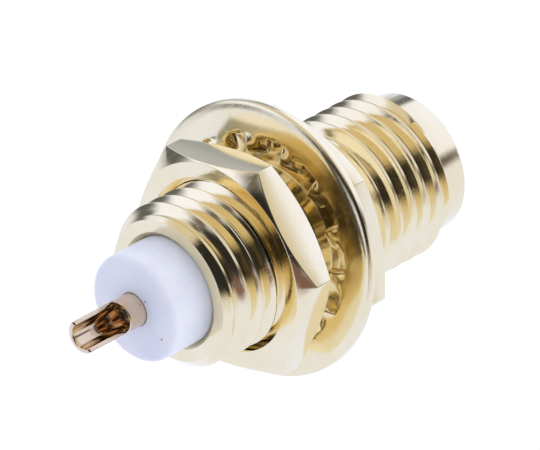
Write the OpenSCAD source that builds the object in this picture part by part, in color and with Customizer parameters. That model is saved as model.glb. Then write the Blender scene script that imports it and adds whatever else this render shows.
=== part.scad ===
// Bulkhead coaxial jack with a rear solder cup, its hex nut and its toothed lock washer.
//
// All sizes are in millimetres. The jack stands on its mating mouth: Z = 0 is the mouth's
// end face, the axis runs up +Z, and the solder cup points up. The shell is one turned
// piece: pilot, mating thread, hex flange and bulkhead thread. The 1/4-36 threads are
// drawn as plain cylinders of their major diameter, with true end chamfers and reliefs.

/* [Shell] */
// Major diameter of both 1/4-36 threads
thread_d = 6.25; // [5.80:0.05:7.50]
// Height of the hex flange's lower face above the mouth
flange_z = 5.80; // [5.20:0.05:8.00]
// Thickness of the hex flange
flange_t = 1.35; // [0.80:0.05:2.50]
// Hex flange, across flats
flange_af = 8.00; // [7.60:0.10:10.00]
// Length of the bulkhead thread behind the flange
rear_len = 5.63; // [4.70:0.01:10.00]
// Pilot diameter at the mouth
pilot_d = 5.28; // [5.20:0.02:5.48]
// Length of the unthreaded pilot
pilot_len = 1.08; // [0.40:0.02:1.14]

/* [Bore] */
// Counterbore of the mating mouth
mouth_bore_d = 4.62; // [4.60:0.01:4.67]
// Depth of the counterbore, to the reference plane
mouth_bore_depth = 1.93; // [1.88:0.01:1.98]
// Width of the countersink at the rear mouth
rear_csk = 0.16; // [0.05:0.01:0.25]

/* [Insulator] */
// Diameter of the insulator rod
insulator_d = 4.16; // [4.00:0.02:4.30]
// How far the insulator stands out of the rear
insulator_out = 1.77; // [0.50:0.01:6.00]
// Radius on the insulator's outer edge
insulator_edge_r = 0.22; // [0.05:0.01:0.50]

/* [Contact] */
// Outer diameter of the centre contact
contact_d = 1.27; // [1.20:0.01:1.35]
// Bore of the spring socket, for a 0.92 pin
socket_bore_d = 0.95; // [0.92:0.01:1.00]
// Depth of the socket bore
socket_depth = 2.90; // [2.20:0.05:3.50]
// Length of the slots that make the four tines
tine_len = 2.20; // [1.50:0.05:2.80]
// Width of each slot
tine_slot = 0.13; // [0.08:0.01:0.16]
// Length of the contact that stands out of the insulator
cup_len = 2.64; // [1.80:0.01:6.00]
// Length of the cup that is milled open to one side
cup_open_len = 1.85; // [1.00:0.01:4.00]
// Bore of the solder cup
cup_bore_d = 0.93; // [0.80:0.01:1.00]
// Depth of the solder cup, from its tip
cup_depth = 2.30; // [1.20:0.05:4.00]

/* [Nut] */
// Nut, across flats
nut_af = 8.00; // [7.60:0.10:10.00]
// Nut thickness
nut_t = 1.65; // [1.20:0.05:3.00]
// Turn of the nut about the axis, in degrees
nut_turn = 26; // [0:1:59]
// Angle of the chamfers on the hex corners
hex_chamfer = 30; // [15:1:40]

/* [Lock washer] */
// Outer diameter
washer_d = 10.40; // [9.00:0.10:14.00]
// Sheet thickness
washer_t = 0.32; // [0.20:0.01:0.60]
// Diameter of the circle the teeth grow from
washer_root_d = 8.00; // [7.60:0.05:10.00]
// Number of teeth
tooth_count = 14; // [8:1:18]
// Twist of each tooth about its own radius, in degrees
tooth_twist = 20; // [8:1:30]
// Width of a tooth at its root
tooth_root_w = 1.05; // [0.60:0.01:1.60]
// Width of a tooth at its tip
tooth_tip_w = 0.72; // [0.40:0.01:1.20]
// Lean of the loose washer on the thread, in degrees
washer_lean = 6.45; // [0:0.05:8]
// Direction of the lean: where the washer meets the flange, in degrees
washer_lean_dir = 24.4; // [0:0.1:360]

/* [Hidden] */

// Fits between the pieces, on the radius
fit_gap = 0.01;         // pieces pressed or cemented together
thread_gap = 0.05;      // nut on the bulkhead thread
washer_gap = 0.23;      // washer teeth round the thread
seat_gap = 0.01;        // pieces that rest against each other

// Threads, 36 to the inch
pitch = 25.4 / 36;
thread_depth = 0.6134 * pitch;
relief_d = thread_d - 2 * thread_depth - 0.04;
relief_w = 0.55;
end_chamfer = 0.40;

// Heights above the mouth
flange_top = flange_z + flange_t;
rear_z = flange_top + rear_len;
insulator_top = rear_z + insulator_out;
contact_top = insulator_top + cup_len;

// Hexagons: radius over the corners of a hexagon of a given width across flats
function corner_r(af) = af / 2 / cos(30);

// The leaning washer touches the flange with one tooth and the nut with the opposite one.
// Its reach is how far it stands to either side of its own centre, along the axis.
tooth_tip_r = thread_d / 2 + washer_gap;
tooth_full_r = washer_root_d / 2 - 0.45 * (washer_root_d / 2 - tooth_tip_r);
tooth_reach = tooth_half_w(tooth_full_r) * sin(tooth_twist) + washer_t / 2 * cos(tooth_twist);
washer_reach = tooth_full_r * sin(washer_lean) + tooth_reach * cos(washer_lean);
washer_z = flange_top + seat_gap + washer_reach;
washer_shift = 0.08;    // it hangs a little off the axis
nut_z = washer_z + washer_reach + seat_gap;

gold = [0.83, 0.71, 0.47];
rose_gold = [0.72, 0.52, 0.36];
ptfe = [0.86, 0.87, 0.94];

// Turned blank that trims the corners of a hexagon at both faces
module hex_trim(af, t) {
    flat_r = 0.985 * af / 2;
    top_r = corner_r(af) + 0.2;
    drop = (top_r - flat_r) * tan(hex_chamfer);
    rotate_extrude($fn = 96)
        polygon([
            [0, 0],
            [flat_r, 0],
            [top_r, drop],
            [top_r, t - drop],
            [flat_r, t],
            [0, t]
        ]);
}

// A hexagonal block with turned corner chamfers, standing on Z = 0
module hex_block(af, t) {
    intersection() {
        cylinder(h = t, r = corner_r(af), $fn = 6);
        hex_trim(af, t);
    }
}

// Outline of the turned shell outside the flange, as a half section
module shell_turned_outline() {
    thread_r = thread_d / 2;
    root_r = relief_d / 2;
    mouth_edge = 0.12;
    thread_z = pilot_len;
    lead = thread_r - pilot_d / 2;
    polygon([
        [0, 0],
        [pilot_d / 2 - mouth_edge, 0],
        [pilot_d / 2, mouth_edge],
        [pilot_d / 2, thread_z],
        [thread_r, thread_z + lead * 0.6],
        [thread_r, flange_z - relief_w - thread_depth],
        [root_r, flange_z - relief_w],
        [root_r, flange_top + relief_w],
        [thread_r, flange_top + relief_w + thread_depth],
        [thread_r, rear_z - end_chamfer],
        [thread_r - end_chamfer, rear_z],
        [0, rear_z]
    ]);
}

// Bore of the shell, as a half section that runs past both ends
module shell_bore_outline() {
    rod_r = insulator_d / 2 + fit_gap;
    past = 1;
    polygon([
        [0, -past],
        [mouth_bore_d / 2, -past],
        [mouth_bore_d / 2, mouth_bore_depth],
        [rod_r, mouth_bore_depth],
        [rod_r, rear_z - rear_csk],
        [rod_r + rear_csk + past, rear_z + past],
        [0, rear_z + past]
    ]);
}

// One turned piece: pilot, mating thread, hex flange and bulkhead thread
module shell() {
    color(gold)
        difference() {
            union() {
                rotate_extrude($fn = 96)
                    shell_turned_outline();
                translate([0, 0, flange_z])
                    hex_block(flange_af, flange_t);
            }
            rotate_extrude($fn = 96)
                shell_bore_outline();
        }
}

// Insulator rod from the reference plane to beyond the rear of the shell
module insulator() {
    r = insulator_d / 2;
    e = insulator_edge_r;
    hole_r = contact_d / 2 + fit_gap;
    tine_r = hole_r + 0.05;
    color(ptfe)
        difference() {
            rotate_extrude($fn = 96)
                union() {
                    polygon([
                        [0, mouth_bore_depth],
                        [r, mouth_bore_depth],
                        [r, insulator_top - e],
                        [r - e, insulator_top - e],
                        [r - e, insulator_top],
                        [0, insulator_top]
                    ]);
                    translate([r - e, insulator_top - e])
                        intersection() {
                            circle(r = e, $fn = 48);
                            square(e);
                        }
                }
            translate([0, 0, mouth_bore_depth - 1])
                cylinder(h = insulator_top - mouth_bore_depth + 2, r = hole_r, $fn = 64);
            translate([0, 0, mouth_bore_depth - 1])
                cylinder(h = tine_len + 1.3, r = tine_r, $fn = 64);
        }
}

// Slots that split the socket end into four spring tines
module tine_slots() {
    for (a = [0, 90])
        rotate([0, 0, 45 + a])
            translate([-contact_d, -tine_slot / 2, mouth_bore_depth - 1])
                cube([2 * contact_d, tine_slot, tine_len + 1]);
}

// The side of the solder cup that is milled away, facing +X
module cup_opening() {
    open_z = contact_top - cup_open_len;
    translate([0, -contact_d, open_z])
        cube([2 * contact_d, 2 * contact_d, cup_open_len + 1]);
}

// Turned blank of the contact, with a chamfered nose and a broken edge at the tip
module contact_blank() {
    r = contact_d / 2;
    nose = 0.10;
    tip = 0.05;
    translate([0, 0, mouth_bore_depth])
        cylinder(h = nose, r1 = r - nose, r2 = r, $fn = 64);
    translate([0, 0, mouth_bore_depth + nose])
        cylinder(h = contact_top - mouth_bore_depth - nose - tip, r = r, $fn = 64);
    translate([0, 0, contact_top - tip])
        cylinder(h = tip, r1 = r, r2 = r - tip, $fn = 64);
}

// Drilled bore with a conical bottom: its mouth is on Z = 0 and it runs down
module drilled(r, depth) {
    cone = 0.5 * r;
    web_r = 0.12 * r;   // the drill's web leaves a small flat
    translate([0, 0, -depth])
        cylinder(h = depth + 1, r = r, $fn = 64);
    translate([0, 0, -depth - cone])
        cylinder(h = cone, r1 = web_r, r2 = r, $fn = 64);
}

// Centre contact: slotted spring socket at the mouth, half-open solder cup at the rear
module contact() {
    lead_in = 0.05;
    socket_r = socket_bore_d / 2;
    color(rose_gold)
        difference() {
            contact_blank();
            translate([0, 0, mouth_bore_depth])
                rotate([180, 0, 0])
                    drilled(socket_r, socket_depth);
            translate([0, 0, mouth_bore_depth - 1])
                cylinder(h = 1 + lead_in, r1 = socket_r + 1 + lead_in, r2 = socket_r, $fn = 64);
            translate([0, 0, contact_top])
                drilled(cup_bore_d / 2, cup_depth);
            tine_slots();
            cup_opening();
        }
}

// Hex nut on the bulkhead thread, with turned corners and countersunk bore
module nut() {
    bore_r = thread_d / 2 + thread_gap;
    csk = 0.20;
    past = 1;
    color(gold)
        translate([0, 0, nut_z])
            difference() {
                rotate([0, 0, nut_turn])
                    hex_block(nut_af, nut_t);
                rotate_extrude($fn = 96)
                    polygon([
                        [0, -past],
                        [bore_r + csk + past, -past],
                        [bore_r, csk],
                        [bore_r, nut_t - csk],
                        [bore_r + csk + past, nut_t + past],
                        [0, nut_t + past]
                    ]);
            }
}

// Half width of a tooth at radius r
function tooth_half_w(r) =
    let (root_r = washer_root_d / 2)
    (tooth_tip_w + (tooth_root_w - tooth_tip_w) * (r - tooth_tip_r) / (root_r - tooth_tip_r)) / 2;

// One length of a tooth, from radius r0 out to r1, turned about its own radius
module tooth_length(r0, r1, turn) {
    w0 = tooth_half_w(r0);
    w1 = tooth_half_w(r1);
    rotate([turn, 0, 0])
        translate([0, 0, -washer_t / 2])
            linear_extrude(height = washer_t)
                polygon([[r0, -w0], [r1, -w1], [r1, w1], [r0, w0]]);
}

// A twisted tooth: the twist grows from the root to the tip
module tooth() {
    root_r = washer_root_d / 2;
    span = root_r - tooth_tip_r;
    lap = 0.02;
    tooth_length(root_r - 0.22 * span, root_r + 0.12, tooth_twist * 0.30);
    tooth_length(root_r - 0.45 * span, root_r - 0.22 * span + lap, tooth_twist * 0.70);
    tooth_length(tooth_tip_r, root_r - 0.45 * span + lap, tooth_twist);
}

// Flat washer with internal twisted teeth, centred on the origin
module toothed_washer() {
    edge = 0.08;
    r = washer_d / 2;
    t = washer_t;
    union() {
        rotate_extrude($fn = 120)
            polygon([
                [washer_root_d / 2, -t / 2],
                [r - edge, -t / 2],
                [r, -t / 2 + edge],
                [r, t / 2 - edge],
                [r - edge, t / 2],
                [washer_root_d / 2, t / 2]
            ]);
        for (k = [0 : tooth_count - 1])
            rotate([0, 0, k * 360 / tooth_count])
                tooth();
    }
}

// The loose washer: it leans on the thread between the flange and the nut
module lock_washer() {
    color(gold)
        translate([0, washer_shift, washer_z])
            rotate([0, 0, washer_lean_dir])
                rotate([0, washer_lean, 0])
                    rotate([0, 0, 3.6 - washer_lean_dir])
                        toothed_washer();
}

shell();
insulator();
contact();
nut();
lock_washer();
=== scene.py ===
"""The look of a coaxial bulkhead jack: shell, insulator, contact, nut and lock washer.

Sizes in the classes below are in millimetres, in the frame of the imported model: the axis is +Z,
the mating mouth is at Z = 0 and the solder cup points up. Meshes are put into the scene in metres.
"""

import logging
import math
from dataclasses import dataclass, field
from enum import Enum
from typing import Callable, Sequence

import bmesh
import bpy
import numpy as np
from mathutils import Matrix, Vector


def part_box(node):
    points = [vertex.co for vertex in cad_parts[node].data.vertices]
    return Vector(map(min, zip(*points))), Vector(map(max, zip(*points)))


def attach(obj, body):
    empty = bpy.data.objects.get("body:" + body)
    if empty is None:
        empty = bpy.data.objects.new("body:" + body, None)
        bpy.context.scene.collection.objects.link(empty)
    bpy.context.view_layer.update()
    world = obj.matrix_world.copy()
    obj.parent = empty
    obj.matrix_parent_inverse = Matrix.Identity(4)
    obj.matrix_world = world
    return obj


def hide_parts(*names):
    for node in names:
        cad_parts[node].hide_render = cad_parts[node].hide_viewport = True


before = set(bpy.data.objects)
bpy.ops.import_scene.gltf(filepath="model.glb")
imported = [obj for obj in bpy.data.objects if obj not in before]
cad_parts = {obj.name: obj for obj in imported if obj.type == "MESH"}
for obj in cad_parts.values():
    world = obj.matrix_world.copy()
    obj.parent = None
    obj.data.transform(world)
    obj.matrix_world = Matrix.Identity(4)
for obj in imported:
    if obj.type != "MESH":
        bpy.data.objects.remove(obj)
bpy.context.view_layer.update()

Array = np.ndarray
MM = 0.001
PITCH = 25.4 / 36
TURN = 2.0 * math.pi
WELD_M = 2e-7
SHORT_EDGE_M = 1e-7
NEAR_ONE = 0.9999
MOST_SETBACK = 0.45
LOG = logging.getLogger("jack")


# ---------------------------------------------------------------- mesh tools


def cad_range(node: str) -> tuple[float, float]:
    """Lowest and highest Z of a CAD node, in millimetres."""
    low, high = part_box(node)
    return low.z / MM, high.z / MM


def smoothstep(t: Array) -> Array:
    """Cubic ease from 0 to 1: 3t^2 - 2t^3, with t held between 0 and 1."""
    t = np.clip(t, 0.0, 1.0)
    return t * t * (3.0 - 2.0 * t)


def rounded_rows(stations: Sequence[Array], radii: Sequence[float], steps: int = 3) -> Array:
    """Profile rows with rounded corners, worked out for all columns at once.

    A corner between two straight runs is replaced by an arc that is tangent to both. The arc
    starts at radius * tan(turn / 2) before the corner, at most MOST_SETBACK of the shorter run.

    Args:
        stations: Corner points in order, each an array of shape (columns, 2) with radius and height.
        radii: Corner radius of each station; the first and last stay sharp.
        steps: Number of arc segments at each corner.

    Returns:
        Array of shape (rows, columns, 2).
    """
    rows = [stations[0]]
    for before, corner, after, radius in zip(stations, stations[1:], stations[2:], radii[1:-1]):
        if radius <= 0.0:
            rows.append(corner)
            continue
        way_in, way_out = before - corner, after - corner
        len_in = np.linalg.norm(way_in, axis=1, keepdims=True)
        len_out = np.linalg.norm(way_out, axis=1, keepdims=True)
        way_in, way_out = way_in / len_in, way_out / len_out
        cosine = (way_in * way_out).sum(1, keepdims=True)
        half = 0.5 * np.arccos(np.clip(cosine, -NEAR_ONE, NEAR_ONE))
        setback = np.minimum(radius / np.tan(half), MOST_SETBACK * np.minimum(len_in, len_out))
        rho = setback * np.tan(half)
        bisector = way_in + way_out
        bisector = bisector / np.linalg.norm(bisector, axis=1, keepdims=True)
        centre = corner + bisector * rho / np.sin(half)
        first, last = corner + way_in * setback - centre, corner + way_out * setback - centre
        sweep = math.pi - 2.0 * half
        for step in range(steps + 1):
            t = step / steps
            blend = (np.sin((1.0 - t) * sweep) * first + np.sin(t * sweep) * last) / np.sin(sweep)
            rows.append(centre + blend)
    rows.append(stations[-1])
    return np.stack(rows)


def ring_station(columns: int, radius: float | Array, height: float | Array) -> Array:
    """A profile corner that is the same for all columns, or given for each, as (columns, 2)."""
    pair = [np.broadcast_to(value, columns) for value in (radius, height)]
    return np.stack(pair, axis=1).astype(float)


def around(rows: Array, angles: Array) -> Array:
    """Points of profile rows turned about +Z: (r cos a, r sin a, z), of shape (rows, columns, 3)."""
    return np.stack([rows[..., 0] * np.cos(angles), rows[..., 0] * np.sin(angles), rows[..., 1]], axis=-1)


class Sheets:
    """Collects grids of points and joins them into one closed mesh."""

    def __init__(self) -> None:
        """Starts with no grids."""
        self.points: list[Array] = []
        self.faces: list[Array] = []
        self.count = 0

    def grid(self, points: Array, wrap_columns: bool = True, wrap_rows: bool = False) -> None:
        """Adds a grid of points as quads.

        Args:
            points: Array of shape (rows, columns, 3), in millimetres.
            wrap_columns: Joins the last column to the first.
            wrap_rows: Joins the last row to the first.
        """
        rows, columns, _ = points.shape
        index = np.arange(rows * columns).reshape(rows, columns) + self.count
        if wrap_columns:
            index = np.concatenate([index, index[:, :1]], axis=1)
        if wrap_rows:
            index = np.concatenate([index, index[:1]], axis=0)
        corners = (index[:-1, :-1], index[:-1, 1:], index[1:, 1:], index[1:, :-1])
        self.faces.append(np.stack(corners, axis=-1).reshape(-1, 4))
        self.points.append(points.reshape(-1, 3))
        self.count += rows * columns

    def build(self, name: str, sharp_deg: float = 38.0) -> bpy.types.Object:
        """Welds the grids and makes the object, with smooth faces and sharp edges past an angle.

        Args:
            name: Name of the piece.
            sharp_deg: Edges that turn more than this many degrees stay crisp.

        Returns:
            The new object, at the origin, with its place in its mesh.
        """
        mesh = bpy.data.meshes.new(name)
        points = np.concatenate(self.points) * MM
        mesh.from_pydata(points, [], np.concatenate(self.faces).tolist())
        work = bmesh.new()
        work.from_mesh(mesh)
        bmesh.ops.remove_doubles(work, verts=work.verts, dist=WELD_M)
        bmesh.ops.dissolve_degenerate(work, edges=work.edges, dist=SHORT_EDGE_M)
        bmesh.ops.recalc_face_normals(work, faces=work.faces)
        work.to_mesh(mesh)
        work.free()
        mesh.polygons.foreach_set("use_smooth", np.ones(len(mesh.polygons), bool))
        mesh.set_sharp_from_angle(angle=math.radians(sharp_deg))
        mesh.update()
        piece = bpy.data.objects.new(name, mesh)
        bpy.context.scene.collection.objects.link(piece)
        return piece


# ---------------------------------------------------------------- threads and hexagons


@dataclass(frozen=True)
class ThreadForm:
    """A thread with narrow crests and rounded roots, right-handed about +Z."""

    crest_r: float = 3.125
    root_r: float = 2.73
    crest_flat: float = 0.05
    crest_round: float = 0.025
    root_round: float = 0.09
    flank_deg: float = 60.0
    crest_z: float = 0.0

    def half_profile(self) -> Array:
        """Half a pitch from crest centre to root centre, as (points, 2) of axial offset and radius.

        A straight crest, a flank that falls by tan(flank_deg), and a root, with rounded corners.
        One more row stands in the middle of the flank.
        """
        edge = self.crest_flat / 2.0
        depth = self.crest_r - self.root_r
        foot = edge + depth / math.tan(math.radians(self.flank_deg))
        corners = [(0.0, self.crest_r), (edge, self.crest_r),
                   (foot, self.root_r), (PITCH / 2.0, self.root_r)]
        stations = [np.array([corner]) for corner in corners]
        steps = 3
        rows = rounded_rows(stations, [0.0, self.crest_round, self.root_round, 0.0], steps)[:, 0]
        flank_row = steps + 2
        middle = np.linspace(rows[flank_row - 1], rows[flank_row], 3)[1:-1]
        return np.concatenate([rows[:flank_row], middle, rows[flank_row:]])

    def profile(self) -> Array:
        """One pitch from crest to crest, as (points, 2) of axial offset and radius."""
        half = self.half_profile()
        back = half[-2:0:-1] * [-1.0, 1.0] + [PITCH, 0.0]
        return np.concatenate([half, back])

    def radius_at(self, angles: Array, heights: Array) -> Array:
        """Thread radius at each angle and height: the profile at the height less the helix's rise."""
        profile = self.profile()
        offset = (heights - self.crest_z - PITCH * angles / TURN) % PITCH
        return np.interp(offset, np.append(profile[:, 0], PITCH), np.append(profile[:, 1], profile[0, 1]))

    def sheet(self, angles: Array, low: float, high: float,
              trim: Callable[[Array, Array], Array]) -> Array:
        """The threaded surface between two heights, on a grid whose rows follow the helix.

        The rows start two turns below the lowest height, follow each other from one profile point
        to the next, and rise by one pitch round the axis. Heights are held between low and high,
        so rows that leave the range lie on its end rings, where the weld removes them.

        Args:
            angles: Column angles, rising from their first to just under one turn more.
            low: Height of the lower end ring.
            high: Height of the upper end ring.
            trim: Gives the final radius from the height and the thread's radius.

        Returns:
            Array of shape (rows, columns + 1, 3); its last column lies on the first.
        """
        offsets = self.profile()[:, 0]
        turns = np.arange(-2, math.ceil((high - low) / PITCH) + 2)
        start = self.crest_z + PITCH * np.floor((low - self.crest_z) / PITCH)
        base = (start + PITCH * turns[:, None] + offsets[None, :]).ravel()
        columns = np.append(angles, angles[0] + TURN)
        heights = np.clip(base[:, None] + PITCH * columns[None, :] / TURN, low, high)
        spread = np.broadcast_to(columns, heights.shape)
        radius = trim(heights, self.radius_at(spread, heights))
        return around(np.stack([radius, heights], axis=-1), spread)


@dataclass(frozen=True)
class HexForm:
    """A hexagon across flats, with rounded corners, turned by an angle."""

    flats: float = 8.0
    corner_deg: float = 0.0
    corner_round: float = 0.07
    chamfer_deg: float = 30.0

    def columns(self, between: int = 34) -> Array:
        """Column angles in radians, close together at the six corners.

        Args:
            between: Number of even steps along each side.

        Returns:
            Rising angles that cover one turn, the last short of the first.
        """
        near = np.array([-0.8, -0.44, -0.22, 0.0, 0.22, 0.44, 0.8])
        side = np.linspace(1.4, 58.6, between)
        sector = np.concatenate([near, side])
        corners = self.corner_deg + 60.0 * np.arange(6)
        return np.radians(corners[:, None] + sector[None, :]).ravel()

    def radius_at(self, angles: Array) -> Array:
        """Distance from the axis to the side at each angle.

        A straight side is flats / 2 / cos(angle from its middle). Near a corner it is an arc of
        corner_round whose centre lies on the corner's line.
        """
        side = self.flats / 2.0
        sixth = math.pi / 3.0
        off_corner = (angles - math.radians(self.corner_deg) + sixth / 2.0) % sixth - sixth / 2.0
        straight = side / np.cos(np.abs(off_corner) - sixth / 2.0)
        centre = (side - self.corner_round) / math.cos(sixth / 2.0)
        inside = np.maximum(self.corner_round ** 2 - (centre * np.sin(off_corner)) ** 2, 0.0)
        arc = centre * np.cos(off_corner) + np.sqrt(inside)
        touch = math.atan2(self.corner_round * math.sin(sixth / 2.0),
                           centre + self.corner_round * math.cos(sixth / 2.0))
        return np.where(np.abs(off_corner) < touch, arc, straight)

    def block_stations(self, angles: Array, low: float, high: float,
                       low_face_r: float, high_face_r: float) -> list[Array]:
        """Corners of the turned hexagon's profile, from its lower face out, up and in to the upper.

        Args:
            angles: Column angles.
            low: Height of the lower face.
            high: Height of the upper face.
            low_face_r: Radius at which the lower face ends and its chamfer starts.
            high_face_r: The same for the upper face.

        Returns:
            Four stations: lower face edge, lower chamfer edge, upper chamfer edge, upper face edge.
        """
        radius = self.radius_at(angles)
        slope = math.tan(math.radians(self.chamfer_deg))
        count = len(angles)
        return [
            ring_station(count, low_face_r, low),
            ring_station(count, radius, low + (radius - low_face_r) * slope),
            ring_station(count, radius, high - (radius - high_face_r) * slope),
            ring_station(count, high_face_r, high),
        ]


# ---------------------------------------------------------------- the pieces


@dataclass
class Shell:
    """The turned shell: pilot, mating thread, hex flange, bulkhead thread and stepped bore."""

    pilot_r: float = 2.64
    pilot_len: float = 1.08
    mouth_edge: float = 0.12
    mouth_bore_r: float = 2.31
    mouth_bore_depth: float = 1.93
    rod_bore_r: float = 2.09
    rear_csk: float = 0.16
    relief_r: float = 2.69
    relief_w: float = 0.55
    front_relief_w: float = 0.75
    lead_rise: float = 0.6
    flange_low: float = 5.80
    flange_high: float = 7.15
    flange_face_r: float = 3.94
    end_face_r: float = 2.727
    flange: HexForm = HexForm(corner_deg=0.0)
    front_thread: ThreadForm = ThreadForm(crest_z=4.032)
    rear_thread: ThreadForm = ThreadForm(crest_z=11.952)

    def front_trim(self, heights: Array, radius: Array) -> Array:
        """Mating thread, cut by a cone at the pilot and by a cone at the flange's relief.

        The pilot's cone rises by lead_rise for each millimetre outwards, the other ones by one.
        """
        lead = self.pilot_r + (heights - self.pilot_len) / self.lead_rise
        tail = self.relief_r + np.maximum(self.flange_low - self.front_relief_w - heights, 0.0)
        return np.minimum(radius, np.minimum(lead, tail))

    def rear_trim(self, heights: Array, radius: Array) -> Array:
        """Bulkhead thread, cut by a cone at the flange's relief and by the end chamfer."""
        _, top = cad_range("shell")
        lead = self.relief_r + np.maximum(heights - self.flange_high - self.relief_w, 0.0)
        chamfer = self.end_face_r + (top - heights)
        return np.minimum(radius, np.minimum(lead, chamfer))

    def build(self) -> bpy.types.Object:
        """Makes the whole shell as one closed mesh.

        Returns:
            The shell's object.
        """
        _, top = cad_range("shell")
        angles = self.flange.columns()
        count = len(angles)
        sheets = Sheets()

        bore = [
            (self.pilot_r, self.pilot_len, 0.0),
            (self.pilot_r, self.mouth_edge, 0.05),
            (self.pilot_r - self.mouth_edge, 0.0, 0.05),
            (self.mouth_bore_r, 0.0, 0.04),
            (self.mouth_bore_r, self.mouth_bore_depth, 0.04),
            (self.rod_bore_r, self.mouth_bore_depth, 0.02),
            (self.rod_bore_r, top - self.rear_csk, 0.03),
            (self.rod_bore_r + self.rear_csk, top, 0.03),
            (self.end_face_r, top, 0.0),
        ]
        stations = [ring_station(count, radius, height) for radius, height, _ in bore]
        sheets.grid(around(rounded_rows(stations, [corner for _, _, corner in bore]), angles))

        block = self.flange.block_stations(angles, self.flange_low, self.flange_high,
                                           self.flange_face_r, self.flange_face_r)
        stations = [
            ring_station(count, self.relief_r, self.flange_low - self.relief_w),
            ring_station(count, self.relief_r, self.flange_low),
            *block,
            ring_station(count, self.relief_r, self.flange_high),
            ring_station(count, self.relief_r, self.flange_high + self.relief_w),
        ]
        rounds = [0.0, 0.06, 0.06, 0.05, 0.05, 0.06, 0.06, 0.0]
        sheets.grid(around(rounded_rows(stations, rounds, 4), angles))

        front_top, rear_low = self.flange_low - self.relief_w, self.flange_high + self.relief_w
        front = self.front_thread.sheet(angles, self.pilot_len, front_top, self.front_trim)
        sheets.grid(front, wrap_columns=False)
        rear = self.rear_thread.sheet(angles, rear_low, top, self.rear_trim)
        sheets.grid(rear, wrap_columns=False)
        return sheets.build("shell_turned")


@dataclass
class Nut:
    """The hex nut, threaded inside to follow the bulkhead thread with a small clearance."""

    low_face_r: float = 3.66
    high_face_r: float = 3.94
    minor_r: float = 2.80
    clearance: float = 0.045
    csk_r: float = 3.365
    hexagon: HexForm = HexForm(corner_deg=26.0)

    def build(self, thread: ThreadForm) -> bpy.types.Object:
        """Makes the nut as one closed mesh.

        Args:
            thread: The thread that the nut runs on.

        Returns:
            The nut's object.
        """
        low, high = cad_range("nut")
        angles = self.hexagon.columns(36)
        count = len(angles)

        def bore_trim(heights: Array, radius: Array) -> Array:
            """The mating thread's radius plus the clearance, opened by both countersinks."""
            sink = self.csk_r - np.minimum(high - heights, heights - low)
            return np.maximum(np.maximum(radius + self.clearance, self.minor_r), sink)

        sheets = Sheets()
        block = self.hexagon.block_stations(angles, low, high, self.low_face_r, self.high_face_r)
        stations = [ring_station(count, self.csk_r, low), *block, ring_station(count, self.csk_r, high)]
        sheets.grid(around(rounded_rows(stations, [0.0, 0.06, 0.05, 0.05, 0.06, 0.0], 4), angles))
        sheets.grid(thread.sheet(angles, low, high, bore_trim), wrap_columns=False)
        return sheets.build("nut_threaded")


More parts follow.
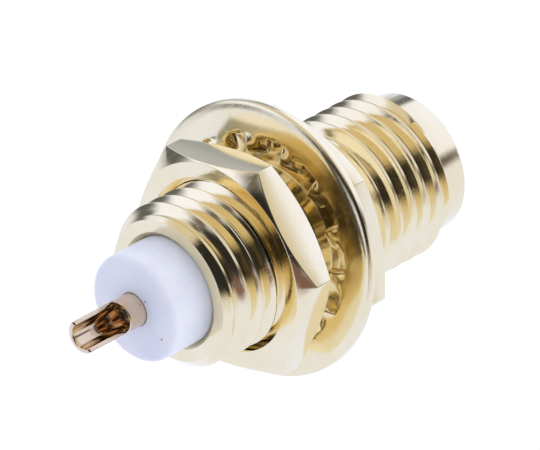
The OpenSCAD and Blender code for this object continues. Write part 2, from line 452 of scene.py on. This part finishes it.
@dataclass
class LockWasher:
    """The leaning lock washer: a flat ring with internal teeth, each twisted about its own radius."""

    outer_r: float = 5.197
    root_r: float = 4.00
    tip_r: float = 3.31
    thickness: float = 0.32
    edge: float = 0.075
    hoop_r: float = 4.38
    teeth: int = 14
    first_tooth_deg: float = 3.6
    root_half_w: float = 0.54
    tip_half_w: float = 0.37
    root_fillet: float = 0.16
    tip_fillet: float = 0.09
    twist_deg: float = 23.0
    twist_spread_deg: float = 2.5
    reach_spread: float = 0.012
    bend_lead: float = 0.06
    bend_len: float = 0.52
    lean_deg: float = 6.45
    lean_dir_deg: float = 24.4
    shift: float = 0.08
    roll_from: float = 4.80
    roll: float = 0.40
    seed: int = 7

    def outline(self) -> tuple[Array, Array]:
        """Inner edge of one tooth's sector, in the tooth's own flat frame, with the way into the metal.

        The edge runs along the root circle, round a fillet, down one side of the tooth, across its
        tip and back, and is then spread evenly along its length.

        Returns:
            Points of shape (n, 2) as (along the radius, across) and unit normals into the metal.
        """
        half_pitch = math.pi / self.teeth
        foot = math.asin(self.root_half_w / self.root_r)
        gap = np.linspace(-half_pitch, -foot, 9)
        arc = np.stack([self.root_r * np.cos(gap), self.root_r * np.sin(gap)], axis=1)
        corners = [*arc, np.array([self.tip_r, -self.tip_half_w]), np.array([self.tip_r, 0.0])]
        radii = [0.0] * (len(arc) - 1) + [self.root_fillet, self.tip_fillet, 0.0]
        rows = rounded_rows([corner[None, :] for corner in corners], radii, 5)[:, 0]
        whole = np.concatenate([rows, rows[-2::-1] * [1.0, -1.0]])
        run = np.concatenate([[0.0], np.cumsum(np.linalg.norm(np.diff(whole, axis=0), axis=1))])
        even = np.linspace(0.0, run[-1], 53)
        points = np.stack([np.interp(even, run, whole[:, axis]) for axis in (0, 1)], axis=1)
        along = np.gradient(points, axis=0)
        along /= np.linalg.norm(along, axis=1, keepdims=True)
        normals = np.stack([along[:, 1], -along[:, 0]], axis=1)
        return points[:-1], normals[:-1]

    def section(self) -> list[tuple[str, float, float]]:
        """The closed section across the ring, as (zone, place, height above the middle plane).

        Zone "rim" gives the inset from the outer circle, "flat" the share of the way from the rim
        to the hoop circle, "web" the share from the hoop to the inner edge, "lip" the inset there.
        """
        half = self.thickness / 2.0
        bend = [(self.edge * (1.0 - math.sin(a)), half - self.edge * (1.0 - math.cos(a)))
                for a in np.linspace(0.0, math.pi / 2.0, 4)]
        top = [("flat", float(t), half) for t in np.linspace(0.0, 1.0, 11)[1:-1]]
        top += [("web", float(t), half) for t in np.linspace(0.0, 1.0, 11)[:-1]]
        lip = [("lip", inset, height) for inset, height in bend]
        rim = [("rim", inset, height) for inset, height in bend]
        upper = rim[::-1] + top + lip
        return upper + [(zone, place, -height) for zone, place, height in upper[::-1]]

    def build(self) -> bpy.types.Object:
        """Makes the washer as one closed ring of quads, then leans it on the thread.

        A point of the flat washer is (radius, across, height). Inside the root circle it turns
        about the tooth's radius by the twist times smoothstep of its depth, and its height is
        taken along the turned surface's normal.

        Returns:
            The washer's object.
        """
        points, normals = self.outline()
        inset = points + normals * self.edge
        hoop_angle = np.arctan2(inset[:, 1], inset[:, 0])
        spread = np.random.default_rng(self.seed)
        sectors = []
        for tooth in range(self.teeth):
            more = spread.uniform(-self.twist_spread_deg, self.twist_spread_deg)
            twist = math.radians(self.twist_deg + more)
            reach = 1.0 + spread.uniform(-self.reach_spread, self.reach_spread)
            rows = []
            for zone, place, height in self.section():
                across_flat = (self.hoop_r - self.outer_r + self.edge) * place
                circle = {"rim": self.outer_r - place,
                          "flat": self.outer_r - self.edge + across_flat,
                          "web": self.hoop_r, "lip": 0.0}[zone]
                flat = np.stack([circle * np.cos(hoop_angle), circle * np.sin(hoop_angle)], axis=1)
                if zone == "web":
                    flat = flat + (inset - flat) * place
                elif zone == "lip":
                    flat = points + normals * place
                rows.append(self.twisted(flat, height, twist, reach))
            grid = np.stack(rows)
            turn = math.radians(self.first_tooth_deg) + TURN * tooth / self.teeth
            sectors.append(self.turned(grid, turn - math.radians(self.lean_dir_deg)))
        flat_washer = np.concatenate(sectors, axis=1)
        sheets = Sheets()
        sheets.grid(self.leaned(flat_washer), wrap_rows=True)
        return sheets.build("washer_toothed")

    def twisted(self, flat: Array, height: float, twist: float, reach: float) -> Array:
        """Flat points of one sector, raised by a height and turned about the tooth's radius."""
        radius, across = flat[:, 0], flat[:, 1]
        step = 0.01
        depth = (self.root_r + self.bend_lead - radius) / self.bend_len
        angle = twist * smoothstep(depth)
        fall = smoothstep(depth - step) - smoothstep(depth + step)
        rate = twist * fall / (2.0 * step * self.bend_len)
        normal = np.stack([-across * rate, -np.sin(angle), np.cos(angle)], axis=1)
        normal /= np.linalg.norm(normal, axis=1, keepdims=True)
        longer = np.where(radius < self.root_r, self.root_r - (self.root_r - radius) * reach, radius)
        middle = np.stack([longer, across * np.cos(angle), across * np.sin(angle)], axis=1)
        return middle + normal * height

    @staticmethod
    def turned(points: Array, angle: float) -> Array:
        """Points turned about +Z by an angle in radians."""
        cos, sin = math.cos(angle), math.sin(angle)
        return np.stack([points[..., 0] * cos - points[..., 1] * sin,
                         points[..., 0] * sin + points[..., 1] * cos, points[..., 2]], axis=-1)

    def leaned(self, points: Array) -> Array:
        """The washer with its punched edge rolled down, leaned and put at its height on the thread.

        Past roll_from the height falls by roll times the square of the way past it.
        """
        x, y, flat_z = points[..., 0], points[..., 1], points[..., 2]
        past = np.maximum(np.hypot(x, y) - self.roll_from, 0.0)
        z = flat_z - self.roll * past ** 2
        low, high = cad_range("lock_washer")
        lean = math.radians(self.lean_deg)
        cos, sin = math.cos(lean), math.sin(lean)
        tipped = np.stack([x * cos + z * sin, y, -x * sin + z * cos], axis=-1)
        place = [0.0, self.shift, (low + high) / 2.0]
        return self.turned(tipped, math.radians(self.lean_dir_deg)) + place


@dataclass
class Insulator:
    """The insulator rod, cut off at the rear with a soft edge."""

    radius: float = 2.08
    hole_r: float = 0.641
    edge: float = 0.22
    shrink: float = 0.010
    wobble: float = 0.006

    def build(self) -> bpy.types.Object:
        """Makes the rod as one closed tube, with a barely uneven skin as a cut soft rod has.

        Returns:
            The insulator's object.
        """
        low, high = cad_range("insulator")
        angles = np.linspace(0.0, TURN, 192, endpoint=False)
        seam = (self.hole_r, (low + high) / 2.0, 0.0)
        corners = [seam, (self.hole_r, low, 0.02), (self.radius, low, 0.04),
                   (self.radius, high, self.edge), (self.hole_r, high, 0.05), seam]
        stations = [ring_station(len(angles), radius, height) for radius, height, _ in corners]
        steps = 8
        rows = rounded_rows(stations, [corner for _, _, corner in corners], steps)
        wall = 1 + 2 * (steps + 1)
        extra = np.linspace(rows[wall - 1], rows[wall], 30)[1:-1]
        rows = np.concatenate([rows[:wall], extra, rows[wall:]])
        wobble = self.wobble * (np.sin(3.0 * angles + 0.7) + 0.6 * np.sin(5.0 * angles + 2.1))
        share = np.clip((rows[..., 0] - self.hole_r) / (self.radius - self.hole_r), 0.0, 1.0)
        rows[..., 0] += (wobble - self.shrink) * share
        sheets = Sheets()
        sheets.grid(around(rows, angles))
        return sheets.build("insulator_rod")


@dataclass
class Contact:
    """The centre contact: slotted socket below, half-open solder cup above, solid between."""

    outer_r: float = 0.635
    socket_r: float = 0.475
    socket_depth: float = 2.90
    slot_half_w: float = 0.065
    slot_len: float = 2.20
    cup_r: float = 0.465
    cup_depth: float = 2.30
    open_len: float = 1.85
    lip_round: float = 0.035
    cup_half_deg: float = 90.0
    cup_fan_deg: float = 28.0
    cup_fillet: float = 0.06
    slot_fan_deg: float = 14.0
    slot_fillet: float = 0.025
    drill_tip: float = 0.24
    columns: int = 224

    def edge_line(self, corners: Sequence[tuple[float, float, float]], fillet: float,
                  radius: float) -> Array:
        """An end edge of the tube, unrolled, with rounded corners and even spacing.

        Args:
            corners: (angle in degrees, height, base angle in degrees) once round, in rising order.
            fillet: Corner radius.
            radius: Radius of the wall on which the edge lies.

        Returns:
            Array of shape (columns, 3): angle and base angle in radians with the height between.
        """
        unrolled = np.array([(math.radians(a) * radius, z, math.radians(b) * radius)
                             for a, z, b in corners])
        once_round = np.array([TURN * radius, 0.0, TURN * radius])
        start = (unrolled[-1] + (unrolled[0] + once_round)) / 2.0 - once_round
        path = np.concatenate([[start], unrolled, [start + once_round]])
        flat = rounded_rows([point[None, :2] for point in path], [fillet] * len(path), 5)[:, 0]
        lengths = np.concatenate([[0.0], np.cumsum(np.linalg.norm(np.diff(path[:, :2], axis=0), axis=1))])
        run = np.concatenate([[0.0], np.cumsum(np.linalg.norm(np.diff(flat, axis=0), axis=1))])
        even = np.linspace(0.0, 1.0, self.columns, endpoint=False)
        line = [np.interp(even, run / run[-1], flat[:, axis]) for axis in (0, 1)]
        base = np.interp(even, lengths / lengths[-1], path[:, 2])
        return np.stack([line[0] / radius, line[1], base / radius], axis=1)

    def lip(self, edge: Array, outer_r: float, inner_r: float, upward: float) -> Array:
        """Rows over an end edge, from the outer wall across the rounded lip to the inner wall.

        At each end of the lip a quarter circle joins wall and lip: the inset from the edge is
        round * (1 - sin t), and the wall is entered by round * (1 - cos t).

        Args:
            edge: The end edge, from edge_line.
            outer_r: Radius of the outer wall.
            inner_r: Radius of the inner wall.
            upward: 1 for the upper end, -1 for the lower.

        Returns:
            Array of shape (rows, columns, 3) of radius, angle and height.
        """
        rows = []
        bends = np.linspace(0.0, math.pi / 2.0, 4)
        for radius, side, order in ((outer_r, -1.0, bends), (inner_r, 1.0, bends[::-1])):
            along = np.stack([np.gradient(edge[:, 0]) * radius, np.gradient(edge[:, 1])], axis=1)
            along[0] = along[1]
            along[-1] = along[-2]
            along /= np.linalg.norm(along, axis=1, keepdims=True)
            into = np.stack([along[:, 1], -along[:, 0]], axis=1) * upward
            for bend in order:
                inset = self.lip_round * (1.0 - math.sin(bend))
                entered = self.lip_round * (1.0 - math.cos(bend))
                rows.append(np.stack([np.full(self.columns, radius + side * entered),
                                      edge[:, 0] + into[:, 0] * inset / radius,
                                      edge[:, 1] + into[:, 1] * inset], axis=1))
        return np.stack(rows)

    def build(self) -> bpy.types.Object:
        """Makes the contact as one closed grid, from the socket's bottom to the cup's bottom.

        Returns:
            The contact's object.
        """
        low, high = cad_range("contact")
        open_z = high - self.open_len
        wall, fan = self.cup_half_deg, self.cup_half_deg + self.cup_fan_deg
        cup = [(-wall, high, -fan), (-wall, open_z, -wall), (wall, open_z, wall), (wall, high, fan)]

        middle_r = (self.outer_r + self.cup_r) / 2.0
        half = math.degrees(math.asin(self.slot_half_w / middle_r))
        slot_top = low + self.slot_len
        slots = []
        for middle in (-135.0, -45.0, 45.0, 135.0):
            left, right = middle - half, middle + half
            slots += [(left, low, left - self.slot_fan_deg), (left, slot_top, left),
                      (right, slot_top, right), (right, low, right + self.slot_fan_deg)]
        socket_edge = self.edge_line(slots, self.slot_fillet, middle_r)
        cup_edge = self.edge_line(cup, self.cup_fillet, middle_r)
        lower_lip = self.lip(socket_edge, self.outer_r, self.socket_r, -1.0)[::-1]
        upper_lip = self.lip(cup_edge, self.outer_r, self.cup_r, 1.0)

        def ring(radius: float, base: Array, height: float) -> Array:
            """One row at a fixed radius and height, at the edge line's base angles."""
            same = np.ones(self.columns)
            return np.stack([radius * same, base[:, 2], height * same], axis=1)

        def between(first: Array, last: Array, steps: int) -> Array:
            """Rows evenly between two rows, without those two."""
            share = np.linspace(0.0, 1.0, steps + 1)[1:-1, None, None]
            return first[None] + (last - first)[None] * share

        socket_end = low + self.socket_depth
        cup_end = high - self.cup_depth
        socket_rim = ring(self.socket_r, socket_edge, socket_end)
        lower_base = ring(self.outer_r, socket_edge, socket_end)
        upper_base = ring(self.outer_r, cup_edge, cup_end)
        cup_rim = ring(self.cup_r, cup_edge, cup_end)
        parts = [
            ring(0.0, socket_edge, socket_end + self.drill_tip)[None], socket_rim[None],
            between(socket_rim, lower_lip[0], 8), lower_lip,
            between(lower_lip[-1], lower_base, 8), lower_base[None], between(lower_base, upper_base, 8),
            upper_base[None], between(upper_base, upper_lip[0], 14), upper_lip,
            between(upper_lip[-1], cup_rim, 14), cup_rim[None],
            ring(0.0, cup_edge, cup_end - self.drill_tip)[None],
        ]
        rows = np.concatenate(parts)
        radius, angle, height = rows[..., 0], rows[..., 1], rows[..., 2]
        sheets = Sheets()
        sheets.grid(np.stack([radius * np.cos(angle), radius * np.sin(angle), height], axis=-1))
        return sheets.build("contact_cup")


# ---------------------------------------------------------------- shader maths


class Signal:
    """A shader socket that can be used in expressions."""

    def __init__(self, graph: "Graph", socket: bpy.types.NodeSocket) -> None:
        """Wraps an output socket of a graph."""
        self.graph, self.socket = graph, socket

    def maths(self, operation: str, *values: "Signal | float") -> "Signal":
        """Applies a Math operation to the given values."""
        return self.graph.out("ShaderNodeMath", {"operation": operation}, dict(enumerate(values)))

    def __add__(self, other: "Signal | float") -> "Signal":
        """Sum."""
        return self.maths("ADD", self, other)

    def __radd__(self, other: float) -> "Signal":
        """Sum, with the number first."""
        return self.maths("ADD", other, self)

    def __sub__(self, other: "Signal | float") -> "Signal":
        """Difference."""
        return self.maths("SUBTRACT", self, other)

    def __mul__(self, other: "Signal | float") -> "Signal":
        """Product."""
        return self.maths("MULTIPLY", self, other)

    def root(self) -> "Signal":
        """Square root."""
        return self.maths("SQRT", self)

    def size(self) -> "Signal":
        """Value without its sign."""
        return self.maths("ABSOLUTE", self)

    def ramp(self, start: float, end: float) -> "Signal":
        """Smooth step: 0 at start, 1 at end; start may be above end."""
        low, high, first, last = (start, end, 0.0, 1.0) if start < end else (end, start, 1.0, 0.0)
        span = {"From Min": low, "From Max": high, "To Min": first, "To Max": last}
        settings = {"interpolation_type": "SMOOTHSTEP"}
        return self.graph.out("ShaderNodeMapRange", settings, {"Value": self, **span})


class Graph:
    """A node tree that is built by expressions."""

    def __init__(self, tree: bpy.types.NodeTree) -> None:
        """Takes a tree and empties it."""
        self.tree = tree
        tree.nodes.clear()

    def node(self, kind: str, settings: dict[str, object] | None = None,
             sockets: dict[str | int, object] | None = None) -> bpy.types.Node:
        """Adds a node, sets its settings, then fills its input sockets.

        Args:
            kind: Node type.
            settings: Properties of the node.
            sockets: Values, signals or output sockets, by input name or number.

        Returns:
            The node.
        """
        node = self.tree.nodes.new(kind)
        for name, value in (settings or {}).items():
            setattr(node, name, value)
        for name, value in (sockets or {}).items():
            socket = node.inputs[name]
            if isinstance(value, Signal):
                self.tree.links.new(value.socket, socket)
            elif isinstance(value, bpy.types.NodeSocket):
                self.tree.links.new(value, socket)
            else:
                socket.default_value = value
        return node

    def out(self, kind: str, settings: dict[str, object] | None = None,
            sockets: dict[str | int, object] | None = None, output: str | int = 0) -> Signal:
        """Adds a node and gives one of its outputs as a signal."""
        return Signal(self, self.node(kind, settings, sockets).outputs[output])

    def vector(self, operation: str, *values: object, **sockets: object) -> Signal:
        """Vector Math on the given vectors."""
        inputs = {**dict(enumerate(values)), **sockets}
        return self.out("ShaderNodeVectorMath", {"operation": operation}, inputs, "Vector")

    def mix(self, share: Signal, first: object, second: object) -> Signal:
        """Mixes two colours; a share of 1 gives the second."""
        node = self.node("ShaderNodeMix", {"data_type": "RGBA", "clamp_factor": True})
        for index, value in ((0, share), (6, first), (7, second)):
            if isinstance(value, Signal):
                self.tree.links.new(value.socket, node.inputs[index])
            else:
                node.inputs[index].default_value = (*value, 1.0)
        return Signal(self, node.outputs[2])

    def noise(self, place: Signal, scale: float, detail: float, rough: float) -> Signal:
        """Noise in 3-D, about 0 to 1."""
        inputs = {"Vector": place, "Scale": scale, "Detail": detail, "Roughness": rough}
        return self.out("ShaderNodeTexNoise", {}, inputs)


def blank_material(name: str) -> tuple[bpy.types.Material, Graph, Signal]:
    """A new material, its emptied graph, and the object's coordinates in millimetres."""
    material = bpy.data.materials.new(name)
    material.use_nodes = True
    graph = Graph(material.node_tree)
    coordinates = graph.out("ShaderNodeTexCoord", output="Object")
    return material, graph, graph.vector("SCALE", coordinates, Scale=1.0 / MM)


def close_material(graph: Graph, inputs: dict[str, object]) -> None:
    """Ends a graph in a Principled shader with the given inputs."""
    shader = graph.node("ShaderNodeBsdfPrincipled", {}, inputs)
    graph.node("ShaderNodeOutputMaterial", {}, {"Surface": shader.outputs[0]})


class Grain(Enum):
    """Which way the fine lines of a finish run."""

    TURNED = "turned"
    ROLLED = "rolled"
    DRAWN = "drawn"


@dataclass(frozen=True)
class GoldFinish:
    """Bright gold plating with the marks of the tool under it."""

    colour: tuple[float, float, float] = (0.95, 0.83, 0.54)
    deep: tuple[float, float, float] = (0.93, 0.79, 0.48)
    roughness: float = 0.10
    rough_spread: float = 0.07
    line_depth: float = 0.5
    scratch_depth: float = 0.25
    grain: Grain = Grain.TURNED
    grain_deg: float = 30.0

    def line_place(self, graph: Graph, place: Signal) -> Signal:
        """Coordinates that are stretched along the tool's lines.

        Turned lines depend on the distance from the axis and on the height only. Rolled lines run
        straight across the face at grain_deg. Drawn lines run along the axis.
        """
        split = graph.node("ShaderNodeSeparateXYZ", {}, {0: place})
        x, y, z = (Signal(graph, split.outputs[axis]) for axis in range(3))
        if self.grain is Grain.TURNED:
            radius = (x * x + y * y).root()
            return graph.out("ShaderNodeCombineXYZ", {}, {0: radius * 7.0, 1: z * 7.0, 2: 0.0})
        if self.grain is Grain.ROLLED:
            cos, sin = math.cos(math.radians(self.grain_deg)), math.sin(math.radians(self.grain_deg))
            return graph.out("ShaderNodeCombineXYZ", {}, {0: (x * cos + y * sin) * 0.35,
                                                          1: (y * cos - x * sin) * 9.0, 2: z * 2.0})
        return graph.out("ShaderNodeCombineXYZ", {}, {0: x * 10.0, 1: y * 10.0, 2: z * 0.6})

    def material(self, name: str) -> bpy.types.Material:
        """Makes the material.

        Args:
            name: Its name.

        Returns:
            The material.
        """
        material, graph, place = blank_material(name)
        lines = graph.noise(self.line_place(graph, place), 1.0, 4.0, 0.6)
        crossed = graph.vector("MULTIPLY", place, (0.7, 9.0, 5.0))
        scratches = graph.noise(crossed, 1.3, 2.0, 0.5).ramp(0.62, 0.72)
        cloud = graph.noise(place, 0.55, 3.0, 0.55)
        skin = graph.noise(place, 14.0, 2.0, 0.5)
        depth = lines * self.line_depth + skin * 0.12 + scratches * self.scratch_depth
        bump = graph.out("ShaderNodeBump", {}, {"Strength": 0.55, "Distance": 0.000006, "Height": depth})
        tint = graph.mix(cloud.ramp(0.35, 0.7), self.colour, self.deep)
        rough = self.roughness + (lines - 0.5) * self.rough_spread + scratches * 0.08
        close_material(graph, {"Base Color": tint, "Roughness": rough, "Metallic": 1.0, "Normal": bump})
        return material


@dataclass(frozen=True)
class RodFinish:
    """The insulator's slick, slightly translucent white."""

    colour: tuple[float, float, float] = (0.86, 0.88, 0.96)
    shade: tuple[float, float, float] = (0.80, 0.82, 0.92)
    speck: tuple[float, float, float] = (0.30, 0.29, 0.33)
    roughness: float = 0.42

    def material(self, name: str) -> bpy.types.Material:
        """Makes the material.

        Args:
            name: Its name.

        Returns:
            The material.
        """
        material, graph, place = blank_material(name)
        cloud = graph.noise(place, 0.8, 3.0, 0.5)
        grain = graph.noise(place, 6.0, 4.0, 0.6)
        cells = graph.out("ShaderNodeTexVoronoi", {}, {"Vector": place, "Scale": 1.1}, "Distance")
        dust = cells.ramp(0.075, 0.045)
        tint = graph.mix(cloud.ramp(0.35, 0.65), self.shade, self.colour)
        tint = graph.mix(dust * 0.8, tint, self.speck)
        depth = cloud + grain * 0.3
        bump = graph.out("ShaderNodeBump", {}, {"Strength": 0.4, "Distance": 0.000012, "Height": depth})
        rough = self.roughness + (grain - 0.5) * 0.15
        close_material(graph, {"Base Color": tint, "Roughness": rough, "Normal": bump,
                               "Subsurface Weight": 0.25, "Subsurface Scale": 0.0006})
        return material


# ---------------------------------------------------------------- studio


@dataclass(frozen=True)
class Panel:
    """A soft-edged patch of light or dark on the studio's walls, as the object sees it, in degrees."""

    azimuth: float
    elevation: float
    half_w: float
    half_h: float
    colour: tuple[float, float, float]
    soft_w: float
    soft_h: float

    def mask(self, azimuth: Signal, elevation: Signal) -> Signal:
        """Share of the panel in a direction.

        The product of two smooth steps, one of the azimuth's distance from the middle of the
        panel, taken the short way round, and one of the elevation's.
        """
        offset = azimuth - self.azimuth
        turned = offset.maths("WRAP", offset, 180.0, -180.0).size()
        raised = (elevation - self.elevation).size()
        across = turned.ramp(self.half_w + self.soft_w, self.half_w - self.soft_w)
        upward = raised.ramp(self.half_h + self.soft_h, self.half_h - self.soft_h)
        return across * upward


def studio_panels() -> list[Panel]:
    """Panels from the largest to the smallest; a later one covers those before it.

    The object looks out on white walls on its left, a warm room ahead and on its right, a dark
    ceiling, a dark doorway in front and a few small things between.
    """
    white, warm, haze = (1.0, 1.10, 1.58), (0.72, 0.67, 0.60), (0.48, 0.53, 0.70)
    dark, brown, grey = (0.024, 0.023, 0.024), (0.20, 0.11, 0.10), (0.12, 0.13, 0.17)
    return [
        Panel(15.0, 10.0, 82.0, 46.0, warm, 18.0, 6.0),
        Panel(55.0, -66.0, 75.0, 27.0, white, 20.0, 5.0),
        Panel(-158.0, -20.0, 20.0, 16.0, white, 14.0, 12.0),
        Panel(112.0, 42.0, 15.0, 20.0, white, 5.0, 5.0),
        Panel(118.0, -20.0, 24.0, 20.0, haze, 6.0, 8.0),
        Panel(129.0, -8.0, 7.0, 24.0, (0.30, 0.33, 0.44), 6.0, 8.0),
        Panel(134.0, 18.0, 10.0, 14.0, grey, 5.0, 7.0),
        Panel(143.0, 38.0, 7.0, 8.0, (0.32, 0.34, 0.42), 5.0, 5.0),
        Panel(148.0, 51.0, 10.0, 4.0, grey, 6.0, 3.0),
        Panel(30.0, 86.0, 130.0, 20.0, dark, 10.0, 4.0),
        Panel(80.0, 62.0, 15.0, 6.0, (0.14, 0.13, 0.12), 8.0, 4.0),
        Panel(-86.0, 68.0, 18.0, 9.0, brown, 8.0, 4.0),
        Panel(-2.0, 44.0, 48.0, 24.0, dark, 9.0, 8.0),
        Panel(-20.0, 12.0, 26.5, 37.0, dark, 12.0, 6.0),
        Panel(-27.0, -34.0, 9.0, 16.0, (0.16, 0.13, 0.11), 7.0, 8.0),
        Panel(110.0, -42.0, 16.0, 5.0, (0.36, 0.40, 0.50), 6.0, 4.0),
        Panel(104.0, -42.0, 8.0, 3.5, (0.14, 0.15, 0.20), 4.0, 2.5),
    ]


@dataclass
class Studio:
    """White floor, soft white surroundings with a few darker and warmer panels, and the camera."""

    surround: tuple[float, float, float] = (0.86, 0.94, 1.26)
    plain: tuple[float, float, float] = (0.78, 0.80, 0.90)
    panels: list[Panel] = field(default_factory=studio_panels)
    floor_half: float = 1.5
    floor_albedo: float = 0.25
    floor_light: float = 0.45
    sensor_mm: float = 36.0
    lens_mm: float = 799.8

    def world(self) -> None:
        """Makes the world: panels over a plain surround, and plain white where the camera sees it."""
        world = bpy.data.worlds.new("studio")
        bpy.context.scene.world = world
        world.use_nodes = True
        graph = Graph(world.node_tree)
        direction = graph.out("ShaderNodeTexCoord", output="Generated")
        split = graph.node("ShaderNodeSeparateXYZ", {}, {0: direction})
        x, y, z = (Signal(graph, split.outputs[axis]) for axis in range(3))
        azimuth = y.maths("ARCTAN2", y, x) * (360.0 / TURN)
        elevation = z.maths("ARCSINE", z) * (360.0 / TURN)
        colour: Signal | tuple[float, float, float] = self.surround
        for panel in self.panels:
            colour = graph.mix(panel.mask(azimuth, elevation), colour, panel.colour)
        rays = graph.node("ShaderNodeLightPath")
        colour = graph.mix(Signal(graph, rays.outputs["Is Diffuse Ray"]), colour, self.plain)
        colour = graph.mix(Signal(graph, rays.outputs["Is Camera Ray"]), colour, (1.0, 1.0, 1.0))
        light = graph.node("ShaderNodeBackground", {}, {"Color": colour, "Strength": 1.0})
        graph.node("ShaderNodeOutputWorld", {}, {"Surface": light.outputs[0]})

    def floor(self) -> None:
        """Makes the floor: a pale sheet that glows, so that only the object's shadow shows on it.

        The sheet gives back floor_light times its albedo, and its glow makes up the rest to white.
        """
        half = self.floor_half
        mesh = bpy.data.meshes.new("floor")
        corners = [(x * half, y * half, 0.0) for x, y in ((-1, -1), (1, -1), (1, 1), (-1, 1))]
        mesh.from_pydata(corners, [], [(0, 1, 2, 3)])
        floor = bpy.data.objects.new("floor", mesh)
        bpy.context.scene.collection.objects.link(floor)
        material = bpy.data.materials.new("floor_white")
        material.use_nodes = True
        graph = Graph(material.node_tree)
        albedo = self.floor_albedo
        matte = graph.node("ShaderNodeBsdfDiffuse", {}, {"Color": (albedo, albedo, albedo, 1.0)})
        rest = 1.0 - self.floor_light * albedo
        glow = graph.node("ShaderNodeEmission", {}, {"Color": (1.0, 1.0, 1.0, 1.0), "Strength": rest})
        lit = graph.node("ShaderNodeAddShader", {}, {0: matte.outputs[0], 1: glow.outputs[0]})
        graph.node("ShaderNodeOutputMaterial", {}, {"Surface": lit.outputs[0]})
        mesh.materials.append(material)
        floor.visible_glossy = False

    def camera(self) -> None:
        """Makes the camera, from its place and its right, up and back axes."""
        data = bpy.data.cameras.new("camera")
        data.sensor_width = self.sensor_mm
        data.lens = self.lens_mm
        data.clip_start, data.clip_end = 0.01, 20.0
        camera = bpy.data.objects.new("camera", data)
        place = Vector((0.3375, -0.01411, 0.27457))
        right = Vector((0.5264, -0.4940, -0.6919))
        up = Vector((0.3294, 0.8687, -0.3690))
        back = Vector((0.7833, -0.0335, 0.6206))
        axes = Matrix((right, up, back)).transposed().to_4x4()
        camera.matrix_world = Matrix.Translation(place) @ axes
        bpy.context.scene.collection.objects.link(camera)
        bpy.context.scene.camera = camera

    def build(self) -> None:
        """Builds all of it."""
        bpy.context.scene.view_settings.view_transform = "Standard"
        self.world()
        self.floor()
        self.camera()


# ---------------------------------------------------------------- the jack


@dataclass
class Jack:
    """All five pieces of the jack, each on its body and in place of its CAD node."""

    shell: Shell = field(default_factory=Shell)
    nut: Nut = field(default_factory=Nut)
    washer: LockWasher = field(default_factory=LockWasher)
    insulator: Insulator = field(default_factory=Insulator)
    contact: Contact = field(default_factory=Contact)

    def build(self) -> None:
        """Builds, dresses and hands over each piece."""
        turned = GoldFinish(roughness=0.12)
        smooth = GoldFinish(roughness=0.10, line_depth=0.35)
        rolled = GoldFinish(roughness=0.17, grain=Grain.ROLLED)
        drawn = GoldFinish(colour=(0.86, 0.69, 0.50), deep=(0.80, 0.60, 0.40), grain=Grain.DRAWN)
        plan = (
            (self.shell.build(), turned, "shell", "shell", "shell_gold"),
            (self.nut.build(self.shell.rear_thread), smooth, "nut", "nut", "nut_gold"),
            (self.washer.build(), rolled, "washer", "lock_washer", "washer_gold"),
            (self.insulator.build(), RodFinish(), "shell", "insulator", "insulator"),
            (self.contact.build(), drawn, "shell", "contact", "contact_gold"),
        )
        for piece, finish, body, node, slot in plan:
            piece.data.materials.append(finish.material(f"{slot}_finish"))
            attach(piece, body)
            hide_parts(node)
            LOG.info("%s: %d faces, on %s", piece.name, len(piece.data.polygons), body)


def main() -> None:
    """Builds the studio and the jack."""
    logging.basicConfig(level=logging.INFO, format="%(name)s: %(message)s")
    Studio().build()
    Jack().build()


if __name__ == "__main__":
    main()
